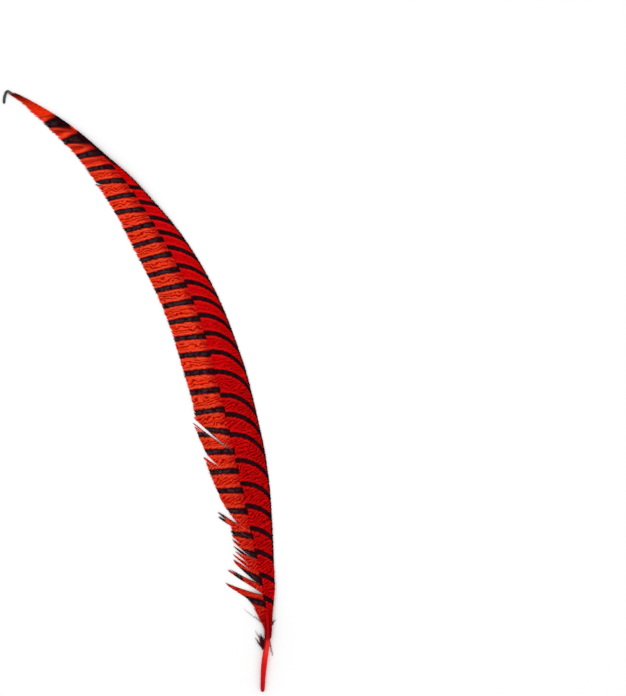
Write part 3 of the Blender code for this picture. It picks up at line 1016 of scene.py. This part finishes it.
def feather_material(context, name):
    """One of the feather's materials. They are all made when the first of them is asked for."""
    if name not in bpy.data.materials:
        make_materials(context.scene.feather_colours)
    return bpy.data.materials[name]


# --- operators

def add_web(context, web, material, pigment, lane_seed, barb_seed):
    size = context.scene.feather_size
    lanes = web_lanes(web, size, np.random.default_rng(lane_seed))
    add_barbs(web, lanes, web.fray, size, material, pigment, barb_seed)


class FEATHER_OT_vane_right(Operator):
    """Add the barbs of the wide right vane"""

    bl_idname = "feather.vane_right"
    bl_label = "Right Vane"

    def execute(self, context):
        add_web(context, WEBS[0], feather_material(context, "vane_right"), right_pigment, 11, 12)
        return {"FINISHED"}


class FEATHER_OT_vane_left(Operator):
    """Add the barbs of the left vane, web by web between its splits"""

    bl_idname = "feather.vane_left"
    bl_label = "Left Vane"

    def execute(self, context):
        material = feather_material(context, "vane_left")
        for seed, web in enumerate(WEBS[1:], 21):
            add_web(context, web, material, left_pigment, seed, seed + 100)
        return {"FINISHED"}


class FEATHER_OT_locks(Operator):
    """Add the loose locks that hang out of the left vane"""

    bl_idname = "feather.locks"
    bl_label = "Loose Locks"

    def execute(self, context):
        size = context.scene.feather_size
        material = feather_material(context, "vane_left")
        for seed, lock in enumerate(LOCKS, 41):
            lanes = lock_lanes(lock, size, np.random.default_rng(seed))
            add_barbs(lock, lanes, LOCK_FRAY, size, material, lock_pigment(lock), seed + 100)
        return {"FINISHED"}


class FEATHER_OT_shaft(Operator):
    """Add the quill and rachis with the bent tip"""

    bl_idname = "feather.shaft"
    bl_label = "Shaft"

    def execute(self, context):
        add_shaft(feather_material(context, "dyed_quill"))
        return {"FINISHED"}


class FEATHER_OT_down(Operator):
    """Add the tufts of down at the top of the quill"""

    bl_idname = "feather.down"
    bl_label = "Down"

    def execute(self, context):
        material = feather_material(context, "dyed_down")
        for seed, tuft in enumerate(TUFTS, 61):
            add_tuft(tuft, material, seed)
        return {"FINISHED"}


class FEATHER_OT_stage(Operator):
    """Add the pale floor, the soft lights and the camera that looks straight down"""

    bl_idname = "feather.stage"
    bl_label = "Stage"

    def execute(self, context):
        settings = context.scene.feather_stage
        add_floor(settings)
        add_lights(context, settings)
        add_camera(context, settings)
        context.scene.view_settings.view_transform = "Standard"
        return {"FINISHED"}


def add_floor(settings):
    bpy.ops.mesh.primitive_plane_add(size=FLOOR_SIZE, location=(0, 0, FLOOR_LEVEL))
    floor = bpy.context.object
    floor.name = "floor"
    tree, shader = new_material("pale_floor", 0.9, 0.1)
    object_space = add_node(tree, "ShaderNodeTexCoord").outputs["Object"]
    cloudy = noise(object_space, 2, 3)
    pale = tuple(settings.floor)
    feed(shader.inputs["Base Color"], blend(cloudy, [c * 0.993 for c in pale], pale))
    floor.data.materials.append(bpy.data.materials["pale_floor"])


def add_lights(context, settings):
    world = bpy.data.worlds.new("soft_sky")
    world.use_nodes = True
    sky = world.node_tree.nodes["Background"]
    sky.inputs["Color"].default_value = (1, 1, 1, 1)
    sky.inputs["Strength"].default_value = settings.sky
    context.scene.world = world
    for name, location, power, size in LIGHTS:
        data = bpy.data.lights.new(name, "AREA")
        data.energy = settings.key * power
        data.size = size
        lamp = bpy.data.objects.new(name, data)
        lamp.location = location
        lamp.rotation_euler = (-Vector(location)).to_track_quat("-Z", "Y").to_euler()
        context.scene.collection.objects.link(lamp)


def add_camera(context, settings):
    """Straight down from above, with the feather left of the middle of the frame."""
    data = bpy.data.cameras.new("camera")
    data.lens = settings.lens
    data.sensor_width = SENSOR
    data.clip_end = 20.0
    camera = bpy.data.objects.new("camera", data)
    camera.location = (*VIEW_MIDDLE, settings.lens / SENSOR * VIEW_HEIGHT + VIEW_LEVEL)
    context.scene.collection.objects.link(camera)
    context.scene.camera = camera


GROUPS = {"feather_size": FeatherSize, "feather_colours": FeatherColours, "feather_stage": FeatherStage}
OPERATORS = (FEATHER_OT_shaft, FEATHER_OT_vane_right, FEATHER_OT_vane_left, FEATHER_OT_locks,
             FEATHER_OT_down, FEATHER_OT_stage)


class FEATHER_PT_panel(Panel):
    """Lists the feather's sizes, colours and pieces"""

    bl_idname = "FEATHER_PT_panel"
    bl_label = "Pheasant Tail Feather"
    bl_space_type = "VIEW_3D"
    bl_region_type = "UI"
    bl_category = "Feather"

    def draw(self, context):
        layout = self.layout
        for key, group in GROUPS.items():
            box = layout.box()
            for name in group.__annotations__:
                box.prop(getattr(context.scene, key), name)
        for operator in OPERATORS:
            layout.operator(operator.bl_idname)


def register():
    for name, group in GROUPS.items():
        bpy.utils.register_class(group)
        setattr(bpy.types.Scene, name, PointerProperty(type=group))
    for operator in OPERATORS:
        bpy.utils.register_class(operator)
    bpy.utils.register_class(FEATHER_PT_panel)


def unregister():
    bpy.utils.unregister_class(FEATHER_PT_panel)
    for operator in reversed(OPERATORS):
        bpy.utils.unregister_class(operator)
    for name, group in reversed(GROUPS.items()):
        delattr(bpy.types.Scene, name)
        bpy.utils.unregister_class(group)


def main():
    register()
    check_layout()
    for operator in OPERATORS:
        group, call = operator.bl_idname.split(".")
        getattr(getattr(bpy.ops, group), call)()


if __name__ == "__main__":
    main()
